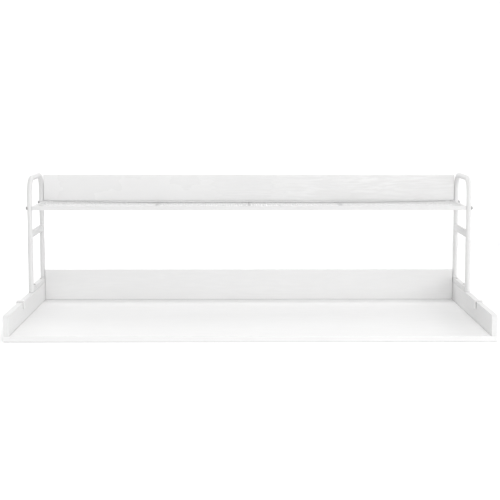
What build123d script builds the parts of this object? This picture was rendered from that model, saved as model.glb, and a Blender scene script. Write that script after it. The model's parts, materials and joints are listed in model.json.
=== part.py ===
from build123d import *
import os

# Worktop tray with a raised mesh shelf: a guarded board that lies on a desk or on appliances,
# with two bent tube frames standing on its side guards. Millimetres, +Z up, front edge towards -Y.
# The origin is on the board's underside, at the middle of its outline.

# Board and guards
WIDTH = 1400.0
DEPTH = 700.0
BOARD_T = 16.0
GUARD_H = 60.0
BACK_GUARD_H = 101.0
GUARD_FRONT_R = 15.0
EDGE_SOFTENING = 0.8

# Tube frames
TUBE_R = 8.0
TUBE_WALL = 1.2
TUBE_X = 692.3
FRONT_LEG_Y = 99.0
REAR_LEG_Y = 340.0
FRAME_TOP_Z = 443.5
BEND_R = 48.0
JOINT_GAP = 0.05

# Tube end plugs
PLUG_FLANGE_T = 2.0
PLUG_STEM_L = 18.0
PLUG_STEM_CLEARANCE = 0.2

# Crossbars and foot rails
CROSSBAR_W = 10.0
CROSSBAR_H = 22.0
CROSSBAR_MID_Z = 259.5
FOOT_RAIL_W = 15.0
FOOT_RAIL_H = 15.0
BAR_WALL = 1.2
BAR_CORNER_R = 1.0
FOOT_SCREW_Y = (162.0, 299.0)

# Shelf
SHELF_RAIL_W = 10.0
SHELF_RAIL_H = 13.0
SHELF_TOP_Z = 350.0
SHELF_END_GAP = 0.3
MESH_T = 2.0
MESH_BELOW_RAIL = 0.3
MESH_SAG = 5.2
MESH_FLAT_HALF_L = 300.0

# Slot in the rear rail's front wall, which takes the mesh's rear edge
SLOT_H = 3.0
SLOT_BELOW_RAIL = 1.4
SLOT_SAG = 4.0
SLOT_END_GAP = 20.0
SLOT_OVERCUT = 0.1

# Shelf bolts and the inserts they screw into
BOLT_R = 2.5
BOLT_HEAD_R = 5.5
BOLT_HEAD_H = 4.5
BOLT_HOLE_R = 2.9
BOLT_GRIP = 16.4
BOLT_THREAD_L = 13.0
BOLT_SOCKET_R = 1.9
BOLT_SOCKET_DEPTH = 2.2
INSERT_L = 14.0
INSERT_CLEARANCE = 0.1
THREAD_CLEARANCE = 0.1

# Upper panel and the tabs that hold it
PANEL_T = 12.0
PANEL_BOTTOM_Z = 351.0
PANEL_H = 84.0
TAB_T = 2.0
TAB_W = 31.0
TAB_H = 28.0
TAB_MID_Z = 371.0
TAB_SCREW_X = 670.0
TAB_SCREW_SPACING = 14.0

# Wood screws; a domed head's rim is rounded over this share of its height
HEAD_ROUNDING = 0.8
CROSS_W = 0.9
CROSS_DEPTH = 1.1
SCREW_HOLE_GROWTH = 0.15
SCREW_R = 2.0
SCREW_TIP_L = 4.0
SCREW_HEAD_R = 4.0
PAN_HEAD_H = 2.4
FLAT_HEAD_H = 2.4
FOOT_SCREW_L = 46.0
BOARD_SCREW_L = 44.0
BOARD_SCREW_SINK = 0.8
TAB_SCREW_R = 1.5
TAB_SCREW_L = 10.0
TAB_SCREW_TIP_L = 2.5
TAB_SCREW_HEAD_R = 3.0
TAB_SCREW_HEAD_H = 1.8
SIDE_SCREW_Y = (-290.0, -115.0, 60.0, 235.0)
BACK_SCREW_X = (-600.0, -360.0, -120.0, 120.0, 360.0, 600.0)

# Dowels between the back guard and the side guards
DOWEL_R = 4.0
DOWEL_IN_SIDE = 10.0
DOWEL_IN_BACK = 20.0
DOWEL_CLEARANCE = 0.1
DOWEL_Z = (34.0, 60.0)

# Loose clips on the side guards
CLIP_FRONT_Y = -107.0
CLIP_L = 18.0
CLIP_H = 26.0
CLIP_TOP_T = 4.5
CLIP_LEG_T = 3.0
CLIP_PLAY = 1.8
CLIP_SHIFT_X = -0.5
CLIP_GAP_ABOVE = 0.3
CLIP_OUTER_R = 2.4
CLIP_TIP_R = 1.2

# Derived places
GUARD_TOP_Z = BOARD_T + GUARD_H
GUARD_INNER_X = WIDTH / 2 - BOARD_T
GUARD_MID_X = WIDTH / 2 - BOARD_T / 2
BACK_GUARD_Y = DEPTH / 2 - BOARD_T / 2
LEG_INNER_X = TUBE_X - TUBE_R
SHELF_HALF_L = LEG_INNER_X - SHELF_END_GAP
SHELF_MID_Z = SHELF_TOP_Z - SHELF_RAIL_H / 2
SHELF_FRONT_Y = FRONT_LEG_Y + SHELF_RAIL_W / 2
SHELF_REAR_Y = REAR_LEG_Y - SHELF_RAIL_W / 2
MESH_HALF_L = SHELF_HALF_L - SHELF_RAIL_W
MESH_TOP_Z = SHELF_TOP_Z - MESH_BELOW_RAIL
TAB_FRONT_Y = REAR_LEG_Y + PANEL_T / 2
LEG_YS = (FRONT_LEG_Y, REAR_LEG_Y)
SIDES = {"left": -1, "right": 1}
ALONG_X = (0, 90, 0)


def box_between(low, high):
    """A box from its low corner to its high corner."""
    size = [top - bottom for bottom, top in zip(low, high)]
    middle = [(top + bottom) / 2 for bottom, top in zip(low, high)]
    return Pos(*middle) * Box(*size)


def hollow_bar(low, high, along):
    """A rectangular tube with rounded long edges between two corners, open at both ends along one axis."""
    inner_low = [value if axis == along else value + BAR_WALL for axis, value in enumerate(low)]
    inner_high = [value if axis == along else value - BAR_WALL for axis, value in enumerate(high)]
    outer = box_between(low, high)
    long_edges = outer.edges().filter_by((Axis.X, Axis.Y, Axis.Z)[along])
    return fillet(long_edges, BAR_CORNER_R) - box_between(inner_low, inner_high)


def softened(panel):
    """A panel with all its edges slightly rounded."""
    return fillet(panel.edges(), EDGE_SOFTENING)


def domed_head(radius, height):
    """A round head that stands on z=0."""
    head = Pos(0, 0, height / 2) * Cylinder(radius, height)
    return fillet(head.edges().group_by(Axis.Z)[-1], HEAD_ROUNDING * height)


def screw_shank(radius, length, tip_l, growth=0.0):
    """A pointed shank below z=0, or with growth the hole that clears it."""
    radius += growth
    length += growth
    straight_l = length - tip_l
    straight = Pos(0, 0, -straight_l / 2) * Cylinder(radius, straight_l)
    tip = Pos(0, 0, -length + tip_l / 2) * Cone(0, radius, tip_l)
    return straight + tip


def cross_recess(head_r, top):
    """The cross cut into a screw head whose top is at the given height."""
    cross = Box(head_r, CROSS_W, CROSS_DEPTH) + Box(CROSS_W, head_r, CROSS_DEPTH)
    return Pos(0, 0, top - CROSS_DEPTH / 2) * cross


def pan_screw(shank, head_r, head_h):
    """A shank with a domed head and a cross recess."""
    return domed_head(head_r, head_h) + shank - cross_recess(head_r, head_h)


def foot_shank(growth=0.0):
    return screw_shank(SCREW_R, FOOT_SCREW_L, SCREW_TIP_L, growth)


def tab_shank(growth=0.0):
    return screw_shank(TAB_SCREW_R, TAB_SCREW_L, TAB_SCREW_TIP_L, growth)


def tab_facing(solid):
    """Turns a screw or its hole so that it points along -Y."""
    return Rot(-90, 0, 0) * solid


def board_screw_body(growth=0.0):
    """A countersunk head and its shank, pointing along +Z from z=0."""
    head = Pos(0, 0, -FLAT_HEAD_H / 2) * Cone(SCREW_R + growth, SCREW_HEAD_R + growth, FLAT_HEAD_H)
    return Rot(180, 0, 0) * (head + screw_shank(SCREW_R, BOARD_SCREW_L, SCREW_TIP_L, growth))


def board_screw():
    return board_screw_body() - Rot(180, 0, 0) * cross_recess(SCREW_HEAD_R, 0.0)


def side_screw_places():
    """Where the board screws enter the side guards, on the underside."""
    return [(side * GUARD_MID_X, y, BOARD_SCREW_SINK) for side in SIDES.values() for y in SIDE_SCREW_Y]


def back_screw_places():
    """Where the board screws enter the back guard, on the underside."""
    return [(x, BACK_GUARD_Y, BOARD_SCREW_SINK) for x in BACK_SCREW_X]


def foot_screw_places(side):
    """Where the foot rail's screws sit, on top of the rail."""
    return [(side * TUBE_X, y, GUARD_TOP_Z + FOOT_RAIL_H) for y in FOOT_SCREW_Y]


def tab_screw_places(side):
    """Where the tab's screws sit, on the tab's rear face."""
    heights = (TAB_MID_Z - TAB_SCREW_SPACING / 2, TAB_MID_Z + TAB_SCREW_SPACING / 2)
    return [(side * TAB_SCREW_X, TAB_FRONT_Y + TAB_T, z) for z in heights]


def all_at(places, make):
    """Copies of one solid at each place."""
    return [Pos(*place) * make for place in places]


def base_board():
    board = softened(Pos(0, 0, BOARD_T / 2) * Box(WIDTH, DEPTH, BOARD_T))
    relief = Pos(0, 0, -BOARD_SCREW_SINK / 2) * Cylinder(SCREW_HEAD_R + SCREW_HOLE_GROWTH, BOARD_SCREW_SINK)
    hole = board_screw_body(SCREW_HOLE_GROWTH) + relief
    for place in side_screw_places() + back_screw_places():
        board -= Pos(*place) * hole
    return board


def side_guard(side):
    """A side guard with a rounded top front corner, and holes for its screws and dowels."""
    outline = Rectangle(DEPTH, GUARD_H)
    front_top = outline.vertices().sort_by(Axis.Y)[-2:].sort_by(Axis.X)[0]
    outline = fillet(front_top, GUARD_FRONT_R)
    panel = extrude(Plane.YZ * outline, BOARD_T / 2, both=True)
    guard = softened(Pos(side * GUARD_MID_X, 0, BOARD_T + GUARD_H / 2) * panel)
    for place in side_screw_places():
        guard -= Pos(*place) * board_screw_body(SCREW_HOLE_GROWTH)
    for place in foot_screw_places(side):
        guard -= Pos(*place) * foot_shank(SCREW_HOLE_GROWTH)
    for hole in dowels(side, DOWEL_CLEARANCE):
        guard -= hole
    return guard


def back_guard():
    low = (-GUARD_INNER_X, BACK_GUARD_Y - BOARD_T / 2, BOARD_T)
    high = (GUARD_INNER_X, BACK_GUARD_Y + BOARD_T / 2, BOARD_T + BACK_GUARD_H)
    guard = softened(box_between(low, high))
    for place in back_screw_places():
        guard -= Pos(*place) * board_screw_body(SCREW_HOLE_GROWTH)
    for side in SIDES.values():
        for hole in dowels(side, DOWEL_CLEARANCE):
            guard -= hole
    return guard


def dowels(side, growth=0.0):
    """The two dowels of one rear corner, or with growth the holes that hold them."""
    start = GUARD_INNER_X - DOWEL_IN_BACK - growth
    end = GUARD_INNER_X + DOWEL_IN_SIDE + growth
    pin = Rot(*ALONG_X) * Cylinder(DOWEL_R + growth, end - start)
    return [Pos(side * (start + end) / 2, BACK_GUARD_Y, z) * pin for z in DOWEL_Z]


def bolt_holes(side, radius):
    """Holes along X through both legs of one frame, at shelf height."""
    drill = Rot(*ALONG_X) * Cylinder(radius, 4 * TUBE_R)
    return [Pos(side * TUBE_X, y, SHELF_MID_Z) * drill for y in LEG_YS]


def frame_tube(side):
    """An inverted U of round tube, drilled for the shelf bolts."""
    x = side * TUBE_X
    bottom = GUARD_TOP_Z + PLUG_FLANGE_T
    top = FRAME_TOP_Z - TUBE_R
    corners = [(x, FRONT_LEG_Y, bottom), (x, FRONT_LEG_Y, top), (x, REAR_LEG_Y, top), (x, REAR_LEG_Y, bottom)]
    path = FilletPolyline(*corners, radius=BEND_R)
    section = Circle(TUBE_R) - Circle(TUBE_R - TUBE_WALL)
    tube = sweep(Plane(origin=corners[0], z_dir=(0, 0, 1)) * section, path=path)
    for hole in bolt_holes(side, BOLT_HOLE_R):
        tube -= hole
    return tube


def tube_end_plugs():
    """Four plastic plugs that close the legs' lower ends and stand on the side guards."""
    stem_r = TUBE_R - TUBE_WALL - PLUG_STEM_CLEARANCE
    flange = Pos(0, 0, PLUG_FLANGE_T / 2) * Cylinder(TUBE_R, PLUG_FLANGE_T)
    stem = Pos(0, 0, PLUG_FLANGE_T + PLUG_STEM_L / 2) * Cylinder(stem_r, PLUG_STEM_L)
    places = [(side * TUBE_X, y, GUARD_TOP_Z) for side in SIDES.values() for y in LEG_YS]
    return all_at(places, flange + stem)


def coped_bar(side, width, bottom, height):
    """A rectangular tube between the legs of one frame, its ends shaped to the legs."""
    low = (side * TUBE_X - width / 2, FRONT_LEG_Y, bottom)
    high = (side * TUBE_X + width / 2, REAR_LEG_Y, bottom + height)
    bar = hollow_bar(low, high, along=1)
    for y in LEG_YS:
        bar -= Pos(side * TUBE_X, y, bottom + height / 2) * Cylinder(TUBE_R + JOINT_GAP, 2 * height)
    return bar


def crossbar(side):
    return coped_bar(side, CROSSBAR_W, CROSSBAR_MID_Z - CROSSBAR_H / 2, CROSSBAR_H)


def foot_rail(side):
    rail = coped_bar(side, FOOT_RAIL_W, GUARD_TOP_Z, FOOT_RAIL_H)
    for place in foot_screw_places(side):
        rail -= Pos(*place) * foot_shank(SCREW_HOLE_GROWTH)
    return rail


def foot_rail_screws():
    places = [place for side in SIDES.values() for place in foot_screw_places(side)]
    return all_at(places, pan_screw(foot_shank(), SCREW_HEAD_R, PAN_HEAD_H))


def shelf_long_rail(y):
    """A plain front or rear rail, from leg to leg."""
    low = (-SHELF_HALF_L, y - SHELF_RAIL_W / 2, SHELF_TOP_Z - SHELF_RAIL_H)
    high = (SHELF_HALF_L, y + SHELF_RAIL_W / 2, SHELF_TOP_Z)
    return hollow_bar(low, high, along=0)


def shelf_end_rail(side):
    """An end rail of the shelf, between its front and rear rails."""
    inner = side * (SHELF_HALF_L - SHELF_RAIL_W)
    outer = side * SHELF_HALF_L
    low = (min(inner, outer), SHELF_FRONT_Y, SHELF_TOP_Z - SHELF_RAIL_H)
    high = (max(inner, outer), SHELF_REAR_Y, SHELF_TOP_Z)
    return hollow_bar(low, high, along=1)


def shelf_support(x):
    """A low bar under the mesh's flat middle, between the front and rear rails."""
    low = (x - SHELF_RAIL_W / 2, SHELF_FRONT_Y, SHELF_TOP_Z - SHELF_RAIL_H)
    high = (x + SHELF_RAIL_W / 2, SHELF_REAR_Y, MESH_TOP_Z - MESH_SAG - MESH_T)
    return hollow_bar(low, high, along=1)


def sagging_line(end_z, sag, half_l):
    """Flat in the middle and rising in an arc to each end, which lies at the given height."""
    rise_l = half_l - MESH_FLAT_HALF_L
    low_z = end_z - sag
    flat = Line((-MESH_FLAT_HALF_L, low_z), (MESH_FLAT_HALF_L, low_z))
    halfway = (MESH_FLAT_HALF_L + rise_l / 2, low_z + sag / 4)
    right = ThreePointArc((MESH_FLAT_HALF_L, low_z), halfway, (half_l, end_z))
    return [mirror(right, Plane.YZ), flat, right]


def sagging_plate(top_z, thickness, sag, half_l, front_y, rear_y):
    """A plate whose middle hangs lower than its left and right ends."""
    top = sagging_line(top_z, sag, half_l)
    bottom = sagging_line(top_z - thickness, sag, half_l)
    ends = [Line((x, top_z - thickness), (x, top_z)) for x in (-half_l, half_l)]
    outline = make_face(top + bottom + ends)
    return Pos(0, front_y, 0) * extrude(Plane.XZ * outline, -(rear_y - front_y))


def shelf_mesh():
    """The outer shape of the expanded metal sheet, inside the four rails."""
    return sagging_plate(MESH_TOP_Z, MESH_T, MESH_SAG, MESH_HALF_L, SHELF_FRONT_Y, SHELF_REAR_Y)


def shelf_rear_rail():
    """The rear rail, slotted along the mesh's edge."""
    slot_front = SHELF_REAR_Y - SLOT_OVERCUT
    slot_rear = SHELF_REAR_Y + BAR_WALL + SLOT_OVERCUT
    slot_half_l = MESH_HALF_L - SLOT_END_GAP
    slot_top = SHELF_TOP_Z - SLOT_BELOW_RAIL
    slot = sagging_plate(slot_top, SLOT_H, SLOT_SAG, slot_half_l, slot_front, slot_rear)
    return shelf_long_rail(REAR_LEG_Y) - slot


def shelf_bolt():
    """A button head bolt whose head stands on x=0 and whose shank points along -X."""
    length = BOLT_GRIP + BOLT_THREAD_L
    shank = Pos(0, 0, -length / 2) * Cylinder(BOLT_R, length)
    socket = extrude(RegularPolygon(BOLT_SOCKET_R, 6), BOLT_SOCKET_DEPTH)
    socket = Pos(0, 0, BOLT_HEAD_H - BOLT_SOCKET_DEPTH) * socket
    return Rot(*ALONG_X) * (domed_head(BOLT_HEAD_R, BOLT_HEAD_H) + shank - socket)


def shelf_bolts():
    bolt = shelf_bolt()
    head_x = TUBE_X + TUBE_R
    solids = []
    for y in LEG_YS:
        solids.append(Pos(head_x, y, SHELF_MID_Z) * bolt)
        solids.append(Pos(-head_x, y, SHELF_MID_Z) * Rot(0, 0, 180) * bolt)
    return solids


def shelf_inserts():
    """Threaded blocks inside the ends of the front and rear rails."""
    width = SHELF_RAIL_W - 2 * BAR_WALL - 2 * INSERT_CLEARANCE
    height = SHELF_RAIL_H - 2 * BAR_WALL - 2 * INSERT_CLEARANCE
    thread = Rot(*ALONG_X) * Cylinder(BOLT_R + THREAD_CLEARANCE, INSERT_L)
    block = Box(INSERT_L, width, height) - thread
    middle_x = SHELF_HALF_L - INSERT_L / 2
    places = [(side * middle_x, y, SHELF_MID_Z) for side in SIDES.values() for y in LEG_YS]
    return all_at(places, block)


def upper_panel():
    low = (-SHELF_HALF_L, REAR_LEG_Y - PANEL_T / 2, PANEL_BOTTOM_Z)
    high = (SHELF_HALF_L, REAR_LEG_Y + PANEL_T / 2, PANEL_BOTTOM_Z + PANEL_H)
    panel = softened(box_between(low, high))
    for side in SIDES.values():
        for place in tab_screw_places(side):
            panel -= Pos(*place) * tab_facing(tab_shank(SCREW_HOLE_GROWTH))
    return panel


def panel_tab(side):
    """A flat plate on the rear leg, shaped to the leg, that the upper panel is screwed to."""
    inner = side * (TUBE_X - TAB_W)
    outer = side * TUBE_X
    low = (min(inner, outer), TAB_FRONT_Y, TAB_MID_Z - TAB_H / 2)
    high = (max(inner, outer), TAB_FRONT_Y + TAB_T, TAB_MID_Z + TAB_H / 2)
    tab = box_between(low, high)
    tab -= Pos(side * TUBE_X, REAR_LEG_Y, TAB_MID_Z) * Cylinder(TUBE_R + JOINT_GAP, 2 * TAB_H)
    for place in tab_screw_places(side):
        tab -= Pos(*place) * tab_facing(tab_shank(SCREW_HOLE_GROWTH))
    return tab


def panel_tab_screws():
    places = [place for side in SIDES.values() for place in tab_screw_places(side)]
    return all_at(places, tab_facing(pan_screw(tab_shank(), TAB_SCREW_HEAD_R, TAB_SCREW_HEAD_H)))


def edge_clip(side):
    """A loose U-shaped clip over the side guard. Both are the same part, moved the same way."""
    top = GUARD_TOP_Z + CLIP_GAP_ABOVE + CLIP_TOP_T
    bottom = top - CLIP_H
    inner_w = BOARD_T + CLIP_PLAY
    outer = Pos(0, (top + bottom) / 2) * Rectangle(inner_w + 2 * CLIP_LEG_T, CLIP_H)
    corners = outer.vertices().group_by(Axis.Y)
    outer = fillet(corners[-1], CLIP_OUTER_R)
    hollow = Pos(0, (bottom + top) / 2 - CLIP_TOP_T) * Rectangle(inner_w, CLIP_H)
    profile = outer - hollow
    tips = profile.vertices().group_by(Axis.Y)[0]
    profile = fillet(tips, CLIP_TIP_R)
    clip = extrude(Plane.XZ * profile, -CLIP_L)
    return Pos(side * GUARD_MID_X + CLIP_SHIFT_X, CLIP_FRONT_Y, 0) * clip


def save(name, shape):
    """Write one node; a list of solids is written as one group."""
    if isinstance(shape, list):
        shape = Compound(children=shape)
    export_step(shape, "parts/" + name + ".step")


def main():
    os.makedirs("parts", exist_ok=True)
    save("base_board", base_board())
    save("back_guard", back_guard())
    save("upper_panel", upper_panel())
    for name, side in SIDES.items():
        save(name + "_side_guard", side_guard(side))
        save(name + "_frame_tube", frame_tube(side))
        save(name + "_crossbar", crossbar(side))
        save(name + "_foot_rail", foot_rail(side))
        save(name + "_edge_clip", edge_clip(side))
        save(name + "_panel_tab", panel_tab(side))
        save("shelf_" + name + "_rail", shelf_end_rail(side))
        save("shelf_support_" + name, shelf_support(side * MESH_FLAT_HALF_L))
    save("shelf_support_middle", shelf_support(0))
    save("shelf_front_rail", shelf_long_rail(FRONT_LEG_Y))
    save("shelf_rear_rail", shelf_rear_rail())
    save("shelf_mesh", shelf_mesh())
    save("shelf_inserts", shelf_inserts())
    save("shelf_bolts", shelf_bolts())
    save("tube_end_plugs", tube_end_plugs())
    save("foot_rail_screws", foot_rail_screws())
    save("panel_tab_screws", panel_tab_screws())
    save("side_guard_screws", all_at(side_screw_places(), board_screw()))
    save("back_guard_screws", all_at(back_screw_places(), board_screw()))
    save("guard_dowels", [pin for side in SIDES.values() for pin in dowels(side)])


main()
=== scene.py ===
import json
import math

import bpy
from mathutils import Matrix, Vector


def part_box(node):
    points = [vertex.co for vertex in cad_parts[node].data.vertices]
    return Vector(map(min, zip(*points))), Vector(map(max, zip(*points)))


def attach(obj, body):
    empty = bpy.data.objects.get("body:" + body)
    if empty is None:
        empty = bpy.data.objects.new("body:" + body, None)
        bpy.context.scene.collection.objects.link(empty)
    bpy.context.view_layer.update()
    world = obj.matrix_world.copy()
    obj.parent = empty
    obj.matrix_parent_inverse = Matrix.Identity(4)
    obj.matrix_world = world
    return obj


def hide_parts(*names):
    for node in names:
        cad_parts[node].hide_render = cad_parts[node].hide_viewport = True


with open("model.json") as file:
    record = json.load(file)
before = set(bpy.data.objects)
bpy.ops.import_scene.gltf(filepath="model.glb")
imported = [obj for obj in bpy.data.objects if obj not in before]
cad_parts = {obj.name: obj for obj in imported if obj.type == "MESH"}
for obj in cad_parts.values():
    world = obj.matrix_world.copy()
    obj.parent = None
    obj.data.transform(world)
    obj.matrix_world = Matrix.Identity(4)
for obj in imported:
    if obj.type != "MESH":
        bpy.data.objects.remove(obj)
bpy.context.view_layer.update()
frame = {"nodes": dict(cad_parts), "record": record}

# Materials, the shelf's expanded metal, the light and the camera. Metres throughout.

nodes = frame["nodes"]

MM = 0.001

# Expanded metal: the diamond's width and depth, one strand, and how the sheet sags between its ends
DIAMOND_W = 16.2 * MM
DIAMOND_DEPTH = 38.5 * MM
STRAND_W = 2.2 * MM
STRAND_T = 0.7 * MM
STRAND_TILT = math.radians(18)
BOND_L = 8.0 * MM
MESH_SAG = 5.2 * MM
MESH_FLAT_HALF_L = 300 * MM

# The upper panel's grain fades in from left to right between these two places
GRAIN_FAINT_X = -250 * MM
GRAIN_FULL_X = 350 * MM

# Floor and backdrop: one sheet that runs back, bends up and ends above the view
SWEEP_HALF_W = 9.0
SWEEP_FRONT_Y = -9.0
SWEEP_BEND_Y = 4.5
SWEEP_R = 2.5
SWEEP_TOP_Z = 8.0
SWEEP_STEPS = 24

# The room's light, from all sides
ROOM_STRENGTH = 0.535

# Camera
CAMERA_PLACE = (-0.0274, -3.9136, 0.6747)
CAMERA_PITCH = -0.1152
CAMERA_YAW = -0.0072
CAMERA_LENS = 91.88
CAMERA_SENSOR = 36.0


class Shader:
    """A material's nodes, with short calls to add and wire them."""

    def __init__(self, name):
        self.material = bpy.data.materials.new(name)
        self.material.use_nodes = True
        self.tree = self.material.node_tree
        self.surface = self.tree.nodes["Principled BSDF"]
        self.place = self.node("ShaderNodeTexCoord").outputs["Object"]

    def node(self, kind, inputs=(), **settings):
        """A new node; inputs maps a socket's name or number to a value or to another node's output."""
        made = self.tree.nodes.new(kind)
        for name, value in settings.items():
            setattr(made, name, value)
        for name, value in dict(inputs).items():
            self.plug(made.inputs[name], value)
        return made

    def plug(self, socket, value):
        if isinstance(value, bpy.types.NodeSocket):
            self.tree.links.new(value, socket)
        else:
            socket.default_value = value

    def set(self, **values):
        """Values for the surface's own sockets, with underscores for the spaces in their names."""
        for name, value in values.items():
            self.plug(self.surface.inputs[name.replace("_", " ")], value)

    def stretched(self, scale, where=None):
        """Coordinates, by default the object's own, scaled by axis so that a pattern is longer one way."""
        mapped = self.node("ShaderNodeMapping", {"Vector": where or self.place, "Scale": scale})
        return mapped.outputs["Vector"]

    def noise(self, where, scale, detail=3.0, roughness=0.5, distortion=0.0):
        inputs = {"Vector": where, "Scale": scale, "Detail": detail, "Roughness": roughness}
        inputs["Distortion"] = distortion
        return self.node("ShaderNodeTexNoise", inputs).outputs["Fac"]

    def spread(self, value, low, high, out_low, out_high):
        """Maps a value from one range to another, clamped."""
        inputs = {"Value": value, "From Min": low, "From Max": high, "To Min": out_low, "To Max": out_high}
        return self.node("ShaderNodeMapRange", inputs).outputs["Result"]

    def mix(self, share, first, second):
        """A colour between two colours."""
        made = self.node("ShaderNodeMix", data_type="RGBA")
        self.plug(made.inputs["Factor"], share)
        self.plug(made.inputs[6], first)
        self.plug(made.inputs[7], second)
        return made.outputs[2]

    def maths(self, operation, first, second):
        return self.node("ShaderNodeMath", {0: first, 1: second}, operation=operation).outputs[0]

    def bump(self, height, strength, distance, base=None):
        inputs = {"Height": height, "Strength": strength, "Distance": distance}
        if base is not None:
            inputs["Normal"] = base
        return self.node("ShaderNodeBump", inputs).outputs["Normal"]

    def edges(self, width):
        """Near 1 along edges, within a width, and 0 on flat faces."""
        rounded = self.node("ShaderNodeBevel", {"Radius": width}, samples=4).outputs["Normal"]
        plain = self.node("ShaderNodeNewGeometry").outputs["Normal"]
        turn = self.node("ShaderNodeVectorMath", {0: rounded, 1: plain}, operation="DOT_PRODUCT")
        return self.spread(turn.outputs["Value"], 0.99, 0.85, 0.0, 1.0)

    def painted_crevice_shade(self, reach, strength):
        """A mask for painted shade: up to the strength where another surface is within reach, and 0 on open
        faces.
        """
        openness = self.node("ShaderNodeAmbientOcclusion", {"Distance": reach}, samples=8).outputs["AO"]
        return self.spread(openness, 0.3, 0.9, strength, 0.0)


def grey(value, warmth=0.0):
    """A near-neutral colour in linear light."""
    return (value * (1 + warmth), value, value * (1 - warmth), 1.0)


def wood_grain(shader):
    """Height of an embossed grain along X: long wavy pores, gathered into loose bands."""
    sway = shader.noise(shader.stretched((2.2, 2.2, 9.0)), 1.0, detail=2.0)
    lift = shader.spread(sway, 0.0, 1.0, -0.028, 0.028)
    raised = shader.node("ShaderNodeCombineXYZ", {"X": 0.0, "Y": lift, "Z": lift}).outputs[0]
    bent = shader.node("ShaderNodeVectorMath", {0: shader.place, 1: raised}, operation="ADD").outputs[0]
    long_pores = shader.stretched((14, 150, 150), bent)
    fine_pores = shader.stretched((60, 900, 900), bent)
    broad = shader.spread(shader.noise(long_pores, 1.0, detail=2.0), 0.42, 0.60, 0.0, 1.0)
    fine = shader.noise(fine_pores, 1.0, detail=2.0)
    bands = shader.spread(shader.noise(shader.stretched((3.0, 14.0, 14.0)), 1.0), 0.35, 0.65, 0.25, 1.0)
    grain = shader.maths("MULTIPLY", broad, bands)
    return shader.maths("ADD", grain, shader.maths("MULTIPLY", fine, 0.35))


def fade_along_x(shader, value):
    """The value, weak at the left end and whole at the right."""
    x = shader.node("ShaderNodeSeparateXYZ", {0: shader.place}).outputs["X"]
    return shader.maths("MULTIPLY", value, shader.spread(x, GRAIN_FAINT_X, GRAIN_FULL_X, 0.08, 1.0))


def white_board(name, tone, emboss, roughness, pore_strength=0.06, fades=False):
    """White melamine with an embossed grain and a fine, slightly uneven sheen."""
    shader = Shader(name)
    clouds = shader.noise(shader.place, 3.5, detail=4.0)
    grain = wood_grain(shader)
    pores = shader.spread(grain, 0.0, 1.0, pore_strength, 0.0)
    if fades:
        pores = fade_along_x(shader, pores)
        grain = fade_along_x(shader, grain)
    pearl = shader.noise(shader.place, 900.0, detail=2.0)
    colour = shader.mix(clouds, grey(tone - 0.018, 0.002), grey(tone + 0.018, 0.001))
    colour = shader.mix(pores, colour, grey(0.55, 0.01))
    # Painted shade: the board is darker along its edges, within 1.3 mm of them.
    colour = shader.mix(shader.maths("MULTIPLY", shader.edges(1.3 * MM), 0.45), colour, grey(0.60, 0.01))
    # Painted shade: the board darkens towards grey 0.34 where another surface is within 3 mm, in seams and
    # corners.
    colour = shader.mix(shader.painted_crevice_shade(3.0 * MM, 0.5), colour, grey(0.34, 0.01))
    shader.set(Base_Color=colour, Specular_IOR_Level=0.4)
    uneven = shader.spread(clouds, 0.3, 0.7, roughness - 0.04, roughness + 0.05)
    shader.set(Roughness=shader.maths("SUBTRACT", uneven, shader.maths("MULTIPLY", grain, 0.04)))
    embossed = shader.bump(grain, emboss, 0.25 * MM)
    shader.set(Normal=shader.bump(pearl, 0.06, 0.05 * MM, embossed))
    return shader.material


def coated_metal(name, tone_low, tone_high, roughness, peel):
    """White powder coat: an orange-peel skin with fine specks, and a painted highlight that makes it a little
    lighter along the edges.
    """
    shader = Shader(name)
    clouds = shader.noise(shader.place, 14.0, detail=3.0)
    skin = shader.noise(shader.place, 620.0, detail=2.0, roughness=0.4)
    specks = shader.spread(shader.noise(shader.place, 2400.0, detail=1.0), 0.68, 0.74, 0.0, 0.12)
    tone = shader.mix(clouds, grey(tone_low, 0.001), grey(tone_high, 0.001))
    tone = shader.mix(specks, tone, grey(0.62, 0.0))
    # Painted highlight: the coat is lighter along its edges, within 0.8 mm of them.
    tone = shader.mix(shader.maths("MULTIPLY", shader.edges(0.8 * MM), 0.3), tone, grey(0.84, 0.0))
    shader.set(Base_Color=tone, Specular_IOR_Level=0.25)
    shader.set(Roughness=shader.spread(skin, 0.3, 0.7, roughness - 0.05, roughness + 0.07))
    shader.set(Normal=shader.bump(skin, peel, 0.12 * MM))
    return shader.material


def plated_steel(name, tone, roughness, warmth):
    """Bare plated steel with a cloudy finish and fine turning marks."""
    shader = Shader(name)
    clouds = shader.noise(shader.place, 260.0, detail=4.0)
    marks = shader.noise(shader.stretched((1500, 1500, 5200)), 1.0, detail=2.0)
    colour = shader.mix(clouds, grey(tone * 0.82, warmth), grey(tone * 1.12, warmth))
    shader.set(Base_Color=colour, Metallic=1.0)
    shader.set(Roughness=shader.spread(clouds, 0.3, 0.7, roughness - 0.06, roughness + 0.10))
    shader.set(Normal=shader.bump(marks, 0.15, 0.03 * MM))
    return shader.material


def moulded_plastic(name, tone, roughness):
    """Injection-moulded plastic with a fine spark-eroded texture."""
    shader = Shader(name)
    clouds = shader.noise(shader.place, 45.0, detail=3.0)
    texture = shader.noise(shader.place, 1500.0, detail=3.0)
    colour = shader.mix(clouds, grey(tone * 0.97, 0.004), grey(tone * 1.02, 0.004))
    # Painted highlight: the plastic is lighter along its edges, within 0.6 mm of them.
    edge_highlight_tone = grey(min(0.9, tone * 1.1))
    colour = shader.mix(shader.maths("MULTIPLY", shader.edges(0.6 * MM), 0.2), colour, edge_highlight_tone)
    shader.set(Base_Color=colour)
    shader.set(Roughness=shader.spread(texture, 0.3, 0.7, roughness - 0.05, roughness + 0.08))
    shader.set(Normal=shader.bump(texture, 0.18, 0.06 * MM))
    shader.set(Subsurface_Weight=0.05, Subsurface_Radius=(0.002, 0.002, 0.002))
    return shader.material


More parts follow.
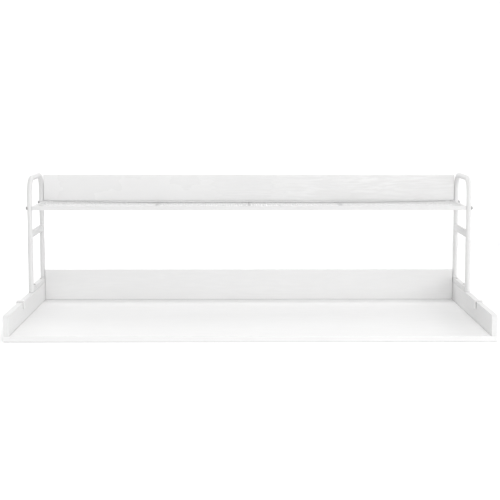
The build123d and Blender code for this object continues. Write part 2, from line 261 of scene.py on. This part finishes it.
def beech_wood(name):
    """Turned beech with short flecks along X."""
    shader = Shader(name)
    grain = shader.noise(shader.stretched((60, 700, 700)), 1.0, detail=4.0)
    flecks = shader.spread(shader.noise(shader.stretched((260, 2400, 2400)), 1.0), 0.6, 0.7, 0.0, 0.6)
    colour = shader.mix(grain, (0.52, 0.34, 0.19, 1.0), (0.68, 0.49, 0.30, 1.0))
    shader.set(Base_Color=shader.mix(flecks, colour, (0.34, 0.19, 0.09, 1.0)))
    shader.set(Roughness=shader.spread(grain, 0.3, 0.7, 0.55, 0.7))
    shader.set(Normal=shader.bump(grain, 0.3, 0.1 * MM))
    return shader.material


def make_materials():
    """One material for each of the record's slots."""
    panel_grain = {"emboss": 1.0, "pore_strength": 0.30, "fades": True}
    return {
        "laminate": white_board("laminate", 0.830, emboss=0.10, roughness=0.52),
        "guard_laminate": white_board("guard_laminate", 0.760, emboss=0.10, roughness=0.52),
        "grain_laminate": white_board("grain_laminate", 0.792, roughness=0.27, **panel_grain),
        "powder_coat": coated_metal("powder_coat", 0.710, 0.740, roughness=0.55, peel=0.22),
        "mesh_coat": coated_metal("mesh_coat", 0.67, 0.71, roughness=0.5, peel=0.12),
        "zinc_steel": plated_steel("zinc_steel", 0.56, roughness=0.34, warmth=0.01),
        "dark_steel": plated_steel("dark_steel", 0.46, roughness=0.36, warmth=0.0),
        "plug_plastic": moulded_plastic("plug_plastic", 0.62, roughness=0.5),
        "clip_plastic": moulded_plastic("clip_plastic", 0.80, roughness=0.42),
        "beech": beech_wood("beech"),
    }


def dress(piece, material):
    """Gives every slot of a piece one material."""
    slots = piece.data.materials
    if not slots:
        slots.append(material)
    for i in range(len(slots)):
        slots[i] = material


def dress_cad_nodes(materials):
    """Each CAD node gets the material of its slot in the record."""
    for row in frame["record"]["subparts"]:
        dress(nodes[row["node"]], materials[row["material_slot"]])


def add_piece(name, verts, faces, material):
    """A new mesh piece that rides on the one body."""
    mesh = bpy.data.meshes.new(name)
    mesh.from_pydata(verts, [], faces)
    mesh.update()
    piece = bpy.data.objects.new(name, mesh)
    bpy.context.scene.collection.objects.link(piece)
    dress(piece, material)
    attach(piece, "root")
    return piece


def strand_bar(stations, across, through):
    """A closed bar through the stations, with a section of two half-vectors across and through it."""
    verts = []
    for at in stations:
        verts += [at - across - through, at + across - through]
        verts += [at + across + through, at - across + through]
    faces = [(3, 2, 1, 0)]
    for i in range(len(stations) - 1):
        a, b = 4 * i, 4 * i + 4
        faces += [(a + k, a + (k + 1) % 4, b + (k + 1) % 4, b + k) for k in range(4)]
    last = 4 * (len(stations) - 1)
    faces.append((last, last + 1, last + 2, last + 3))
    return verts, faces


def mesh_rise(x, half_l):
    """How far the sheet rises above its flat middle."""
    past = max(0.0, abs(x) - MESH_FLAT_HALF_L) / (half_l - MESH_FLAT_HALF_L)
    return MESH_SAG * past**2


def expanded_metal(material):
    """Expanded metal: zigzag strands from front to rear, each tilted, that meet their neighbours in bonds."""
    low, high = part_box("shelf_mesh")
    across = Vector((math.cos(STRAND_TILT), 0, math.sin(STRAND_TILT))) * STRAND_W / 2
    through = Vector((-math.sin(STRAND_TILT), 0, math.cos(STRAND_TILT))) * STRAND_T / 2
    strand_count = 2 * round((high.x - low.x) / DIAMOND_W)
    strand_pitch = (high.x - low.x) / strand_count
    half_waves = 2 * round((high.y - low.y) / DIAMOND_DEPTH)
    half_wave = (high.y - low.y) / half_waves
    middle_z = high.z - MESH_SAG - 2 * across.z - through.z
    verts, faces = [], []
    for strand in range(strand_count):
        left = low.x + strand * strand_pitch + across.x
        right = left + strand_pitch - 2 * across.x
        stations = []
        for k in range(half_waves + 1):
            y = low.y + k * half_wave
            at_right = (k + strand) % 2 == 1
            x = right if at_right else left
            z = middle_z + mesh_rise(x, high.x) + (-across.z if at_right else across.z)
            for end in (-BOND_L / 2, BOND_L / 2):
                if low.y <= y + end <= high.y:
                    stations.append(Vector((x, y + end, z)))
        bar_verts, bar_faces = strand_bar(stations, -across, through)
        start = len(verts)
        verts += bar_verts
        faces += [tuple(i + start for i in face) for face in bar_faces]
    piece = add_piece("shelf_mesh_strands", verts, faces, material)
    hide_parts("shelf_mesh")


def floor_and_backdrop():
    """A pale floor that curves up into a backdrop behind the object."""
    shader = Shader("studio_paper")
    fibres = shader.noise(shader.place, 220.0, detail=4.0)
    tone = shader.mix(fibres, grey(0.90), grey(0.94))
    shader.set(Base_Color=tone, Roughness=shader.spread(fibres, 0.3, 0.7, 0.75, 0.9))
    shader.set(Emission_Color=grey(1.0), Emission_Strength=0.05)
    shader.set(Normal=shader.bump(fibres, 0.05, 0.1 * MM))
    outline = [(SWEEP_FRONT_Y, 0.0)]
    for i in range(SWEEP_STEPS + 1):
        angle = math.pi / 2 * i / SWEEP_STEPS
        outline.append((SWEEP_BEND_Y + SWEEP_R * math.sin(angle), SWEEP_R * (1 - math.cos(angle))))
    outline.append((SWEEP_BEND_Y + SWEEP_R, SWEEP_TOP_Z))
    verts = [(x, y, z) for y, z in outline for x in (-SWEEP_HALF_W, SWEEP_HALF_W)]
    faces = [(2 * i, 2 * i + 1, 2 * i + 3, 2 * i + 2) for i in range(len(outline) - 1)]
    mesh = bpy.data.meshes.new("studio_sweep")
    mesh.from_pydata(verts, [], faces)
    for face in mesh.polygons:
        face.use_smooth = True
    sweep = bpy.data.objects.new("studio_sweep", mesh)
    bpy.context.scene.collection.objects.link(sweep)
    dress(sweep, shader.material)


def soft_box(name, place, target, size, power):
    light = bpy.data.lights.new(name, "AREA")
    light.shape = "RECTANGLE"
    light.size, light.size_y = size
    light.energy = power
    lamp = bpy.data.objects.new(name, light)
    bpy.context.scene.collection.objects.link(lamp)
    lamp.visible_camera = False
    lamp.location = place
    lamp.rotation_euler = (Vector(target) - Vector(place)).to_track_quat("-Z", "Y").to_euler()


def light_studio():
    """An even white room with soft boxes, each at its place and aimed at its target, and a lit backdrop."""
    world = bpy.data.worlds.new("studio")
    bpy.context.scene.world = world
    world.use_nodes = True
    room = world.node_tree.nodes["Background"]
    room.inputs["Color"].default_value = (1.0, 1.0, 1.0, 1.0)
    room.inputs["Strength"].default_value = ROOM_STRENGTH
    soft_box("front_box", (0.0, -5.2, 1.3), (0.0, 0.0, 0.2), (3.4, 2.2), 23.5)
    soft_box("front_right_box", (3.0, -3.6, 1.5), (0.0, 0.0, 0.2), (2.0, 2.0), 16.6)
    soft_box("low_right_box", (0.95, -3.7, 0.18), (0.45, 0.33, 0.4), (0.9, 0.3), 4.7)
    soft_box("front_top_box", (0.0, -2.6, 3.0), (0.0, 0.0, 0.1), (3.0, 1.6), 50.0)
    soft_box("rear_top_box", (0.0, 1.8, 2.6), (0.0, 0.0, 0.0), (3.0, 1.2), 25.7)
    soft_box("right_box", (3.6, 0.0, 1.3), (0.0, 0.0, 0.2), (2.4, 1.8), 38.0)
    soft_box("rear_left_box", (-2.6, 2.4, 1.8), (0.0, 0.0, 0.2), (1.8, 1.8), 30.0)
    soft_box("backdrop_wash", (0.0, 2.6, 2.2), (0.0, 7.0, 1.4), (6.0, 2.0), 110.0)


def place_camera():
    """A long lens in front of the object, a little above it."""
    data = bpy.data.cameras.new("camera")
    data.lens = CAMERA_LENS
    data.sensor_width = CAMERA_SENSOR
    data.clip_start, data.clip_end = 0.05, 60.0
    camera = bpy.data.objects.new("camera", data)
    bpy.context.scene.collection.objects.link(camera)
    camera.location = CAMERA_PLACE
    camera.rotation_euler = (math.pi / 2 + CAMERA_PITCH, 0.0, CAMERA_YAW)
    bpy.context.scene.camera = camera


def plain_colours():
    """Whites stay white: no film curve."""
    view = bpy.context.scene.view_settings
    view.view_transform = "Standard"
    view.look = "None"


materials = make_materials()
dress_cad_nodes(materials)
expanded_metal(materials["mesh_coat"])
floor_and_backdrop()
light_studio()
place_camera()
plain_colours()
